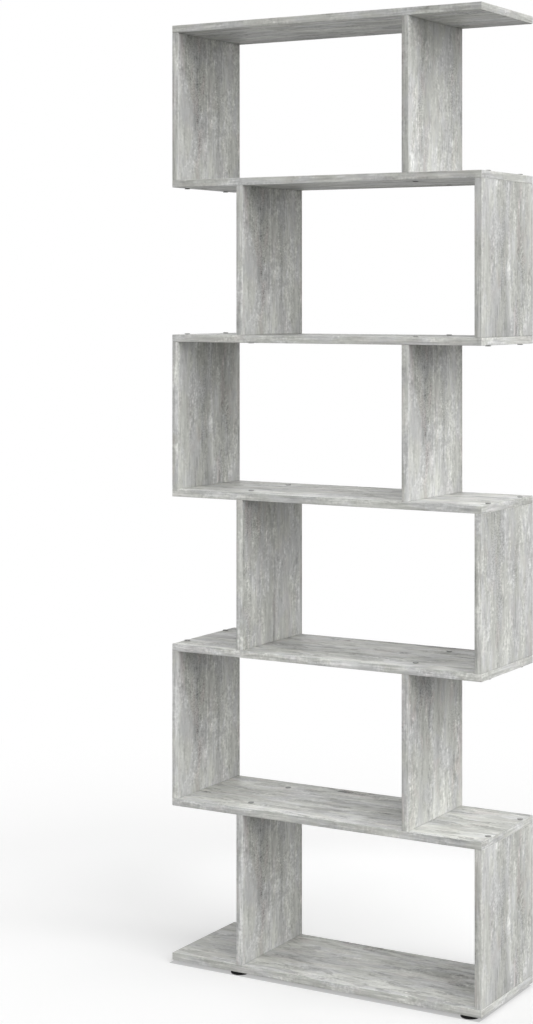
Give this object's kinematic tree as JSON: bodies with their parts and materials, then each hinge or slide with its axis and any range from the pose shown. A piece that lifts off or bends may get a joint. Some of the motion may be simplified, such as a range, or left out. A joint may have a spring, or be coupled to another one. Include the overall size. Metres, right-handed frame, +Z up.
{
  "type": "zigzag bookshelf",
  "caption": "Tall, narrow open bookshelf and room divider whose uprights step from side to side tier by tier, in a pale grey concrete-look board finish.",
  "frame": {"origin": "on the floor, under the middle of the shelf", "axes": "+Z up; +X to the right along the boards, towards the end upright of the lowest tier; +Y to the rear"},
  "size_m": [0.7, 0.232, 1.914],
  "materials": {
    "board": "matt, pale grey weathered decor",
    "cover_cap": "satin grey",
    "foot": "matt black",
    "screw": "zinc plated"
  },
  "bodies": {
    "root": {"base_board": "board", "shelf_board_1": "board", "shelf_board_2": "board", "shelf_board_3": "board", "shelf_board_4": "board", "shelf_board_5": "board", "top_board": "board", "tier_1_inner_upright": "board", "tier_1_end_upright": "board", "tier_2_inner_upright": "board", "tier_2_end_upright": "board", "tier_3_inner_upright": "board", "tier_3_end_upright": "board", "tier_4_inner_upright": "board", "tier_4_end_upright": "board", "tier_5_inner_upright": "board", "tier_5_end_upright": "board", "tier_6_inner_upright": "board", "tier_6_end_upright": "board", "tier_1_inner_connector_front": "cover_cap", "tier_1_inner_connector_rear": "cover_cap", "tier_1_end_connector_front": "cover_cap", "tier_1_end_connector_rear": "cover_cap", "tier_2_inner_connector_front": "cover_cap", "tier_2_inner_connector_rear": "cover_cap", "tier_2_end_connector_front": "cover_cap", "tier_2_end_connector_rear": "cover_cap", "tier_3_inner_connector_front": "cover_cap", "tier_3_inner_connector_rear": "cover_cap", "tier_3_end_connector_front": "cover_cap", "tier_3_end_connector_rear": "cover_cap", "tier_4_inner_connector_front": "cover_cap", "tier_4_inner_connector_rear": "cover_cap", "tier_4_end_connector_front": "cover_cap", "tier_4_end_connector_rear": "cover_cap", "tier_5_inner_connector_front": "cover_cap", "tier_5_inner_connector_rear": "cover_cap", "tier_5_end_connector_front": "cover_cap", "tier_5_end_connector_rear": "cover_cap", "tier_6_inner_connector_front": "cover_cap", "tier_6_inner_connector_rear": "cover_cap", "tier_6_end_connector_front": "cover_cap", "tier_6_end_connector_rear": "cover_cap", "foot_front_left": "foot", "foot_front_right": "foot", "foot_rear_left": "foot", "foot_rear_right": "foot", "foot_screw_front_left": "screw", "foot_screw_front_right": "screw", "foot_screw_rear_left": "screw", "foot_screw_rear_right": "screw"}
  },
  "joints": []
}
